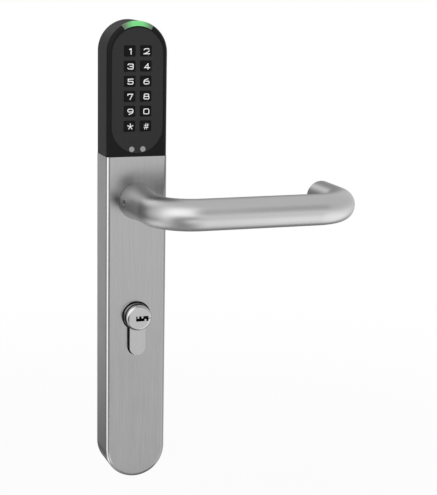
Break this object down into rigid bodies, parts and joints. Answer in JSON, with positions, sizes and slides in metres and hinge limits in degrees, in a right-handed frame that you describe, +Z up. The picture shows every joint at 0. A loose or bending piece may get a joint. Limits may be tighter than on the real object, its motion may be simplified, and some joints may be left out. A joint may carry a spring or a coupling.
{
  "type": "keypad smart lock",
  "caption": "Narrow upright keypad lock escutcheon with a tubular return lever, a coded clutch on the spindle, lit reader head and a profile cylinder.",
  "frame": {"origin": "where the spindle axis meets the door face", "axes": "+X along the lever, +Y into the door, +Z up the escutcheon"},
  "size_m": [0.1474, 0.1359, 0.2863],
  "materials": {
    "steel_satin": "satin brushed stainless steel",
    "head_plastic": "fine textured dark grey moulding",
    "panel_plastic": "smooth matt dark grey",
    "key_plastic": "black with white figures",
    "light_plastic": "clear light guide lit green",
    "contact_metal": "nickel plated",
    "cylinder_nickel": "satin nickel",
    "rubber_black": "soft black sheet",
    "silicone_grey": "translucent grey silicone",
    "board_green": "green solder mask",
    "chip_black": "black epoxy",
    "connector_white": "natural nylon",
    "lamp_body": "lamp package",
    "zinc_plate": "zinc plated steel",
    "cast_zinc": "die cast zinc",
    "machined_steel": "plain machined steel",
    "bush_plastic": "acetal",
    "brass_plain": "plain brass",
    "spring_steel": "spring wire"
  },
  "bodies": {
    "escutcheon": {"door_gasket": "rubber_black", "base_plate": "zinc_plate", "fixing_posts": "machined_steel", "cover_plate": "steel_satin", "cover_screws": "zinc_plate", "reader_housing": "head_plastic", "keypad_panel": "panel_plastic", "light_guide": "light_plastic", "key_mat": "silicone_grey", "contact_pins": "contact_metal", "keypad_board": "board_green", "status_leds": "lamp_body", "connector_socket": "connector_white", "control_chip": "chip_black", "buzzer": "chip_black", "head_spacers": "machined_steel", "head_screws": "zinc_plate", "hub_housing": "cast_zinc", "hub_screws": "zinc_plate", "lever_bush": "bush_plastic", "return_spring": "spring_steel", "clutch_spring": "spring_steel", "clutch_motor": "zinc_plate", "motor_strap": "bush_plastic", "strap_screws": "zinc_plate", "cylinder_body": "cylinder_nickel", "driver_pins": "brass_plain", "pin_springs": "spring_steel"},
    "lever": {"lever_handle": "steel_satin", "lever_insert": "steel_satin", "lever_set_screw": "machined_steel", "lever_end_cap": "steel_satin", "drive_hub": "machined_steel"},
    "spindle": {"spindle_hub": "machined_steel", "square_spindle": "zinc_plate", "spindle_pin": "machined_steel"},
    "locking_pin": {"clutch_pin": "machined_steel"},
    "shoe": {"clutch_shoe": "brass_plain"},
    "motor_screw": {"lead_screw": "brass_plain"},
    "plug": {"cylinder_plug": "cylinder_nickel", "cylinder_cam": "machined_steel", "plug_clip": "spring_steel", "key_pins": "brass_plain"},
    "button_1": {"key_1": "key_plastic"},
    "button_2": {"key_2": "key_plastic"},
    "button_3": {"key_3": "key_plastic"},
    "button_4": {"key_4": "key_plastic"},
    "button_5": {"key_5": "key_plastic"},
    "button_6": {"key_6": "key_plastic"},
    "button_7": {"key_7": "key_plastic"},
    "button_8": {"key_8": "key_plastic"},
    "button_9": {"key_9": "key_plastic"},
    "button_0": {"key_0": "key_plastic"},
    "button_star": {"key_star": "key_plastic"},
    "button_hash": {"key_hash": "key_plastic"}
  },
  "joints": [
    {"name": "lever_turn", "type": "hinge", "parent": "escutcheon", "child": "lever", "pos_m": [0, 0, 0], "axis": [0, 1, 0], "range_deg": [0, 45], "stiffness_Nm_per_rad": 1, "springref_deg": -34.38, "deforming": ["return_spring"]},
    {"name": "spindle_turn", "type": "hinge", "parent": "escutcheon", "child": "spindle", "pos_m": [0, 0, 0], "axis": [0, 1, 0], "range_deg": [0, 45]},
    {"name": "motor_turn", "type": "hinge", "parent": "escutcheon", "child": "motor_screw", "pos_m": [0, -0.0068, 0], "axis": [0, 0, 1], "range_deg": [0, 1080]},
    {"name": "shoe_slide", "type": "slide", "parent": "escutcheon", "child": "shoe", "axis": [0, 0, -1], "range_m": [0, 0.0024]},
    {"name": "pin_slide", "type": "slide", "parent": "lever", "child": "locking_pin", "axis": [0, 0, -1], "range_m": [0, 0.0024], "deforming": ["clutch_spring"]},
    {"name": "plug_turn", "type": "hinge", "parent": "escutcheon", "child": "plug", "pos_m": [0, 0, -0.072], "axis": [0, 1, 0], "continuous": true},
    {"name": "press_1", "type": "slide", "parent": "escutcheon", "child": "button_1", "axis": [0, 1, 0], "range_m": [0, 0.0007], "stiffness_N_per_m": 1200, "springref_m": -0.0004, "deforming": ["key_mat"]},
    {"name": "press_2", "type": "slide", "parent": "escutcheon", "child": "button_2", "axis": [0, 1, 0], "range_m": [0, 0.0007], "stiffness_N_per_m": 1200, "springref_m": -0.0004, "deforming": ["key_mat"]},
    {"name": "press_3", "type": "slide", "parent": "escutcheon", "child": "button_3", "axis": [0, 1, 0], "range_m": [0, 0.0007], "stiffness_N_per_m": 1200, "springref_m": -0.0004, "deforming": ["key_mat"]},
    {"name": "press_4", "type": "slide", "parent": "escutcheon", "child": "button_4", "axis": [0, 1, 0], "range_m": [0, 0.0007], "stiffness_N_per_m": 1200, "springref_m": -0.0004, "deforming": ["key_mat"]},
    {"name": "press_5", "type": "slide", "parent": "escutcheon", "child": "button_5", "axis": [0, 1, 0], "range_m": [0, 0.0007], "stiffness_N_per_m": 1200, "springref_m": -0.0004, "deforming": ["key_mat"]},
    {"name": "press_6", "type": "slide", "parent": "escutcheon", "child": "button_6", "axis": [0, 1, 0], "range_m": [0, 0.0007], "stiffness_N_per_m": 1200, "springref_m": -0.0004, "deforming": ["key_mat"]},
    {"name": "press_7", "type": "slide", "parent": "escutcheon", "child": "button_7", "axis": [0, 1, 0], "range_m": [0, 0.0007], "stiffness_N_per_m": 1200, "springref_m": -0.0004, "deforming": ["key_mat"]},
    {"name": "press_8", "type": "slide", "parent": "escutcheon", "child": "button_8", "axis": [0, 1, 0], "range_m": [0, 0.0007], "stiffness_N_per_m": 1200, "springref_m": -0.0004, "deforming": ["key_mat"]},
    {"name": "press_9", "type": "slide", "parent": "escutcheon", "child": "button_9", "axis": [0, 1, 0], "range_m": [0, 0.0007], "stiffness_N_per_m": 1200, "springref_m": -0.0004, "deforming": ["key_mat"]},
    {"name": "press_0", "type": "slide", "parent": "escutcheon", "child": "button_0", "axis": [0, 1, 0], "range_m": [0, 0.0007], "stiffness_N_per_m": 1200, "springref_m": -0.0004, "deforming": ["key_mat"]},
    {"name": "press_star", "type": "slide", "parent": "escutcheon", "child": "button_star", "axis": [0, 1, 0], "range_m": [0, 0.0007], "stiffness_N_per_m": 1200, "springref_m": -0.0004, "deforming": ["key_mat"]},
    {"name": "press_hash", "type": "slide", "parent": "escutcheon", "child": "button_hash", "axis": [0, 1, 0], "range_m": [0, 0.0007], "stiffness_N_per_m": 1200, "springref_m": -0.0004, "deforming": ["key_mat"]}
  ],
  "couplings": [
    {"joint": "spindle_turn", "follows": "lever_turn", "ratio": 1},
    {"joint": "motor_turn", "follows": "shoe_slide", "rad_per_m": 7854},
    {"joint": "pin_slide", "follows": "shoe_slide", "ratio": 1}
  ]
}
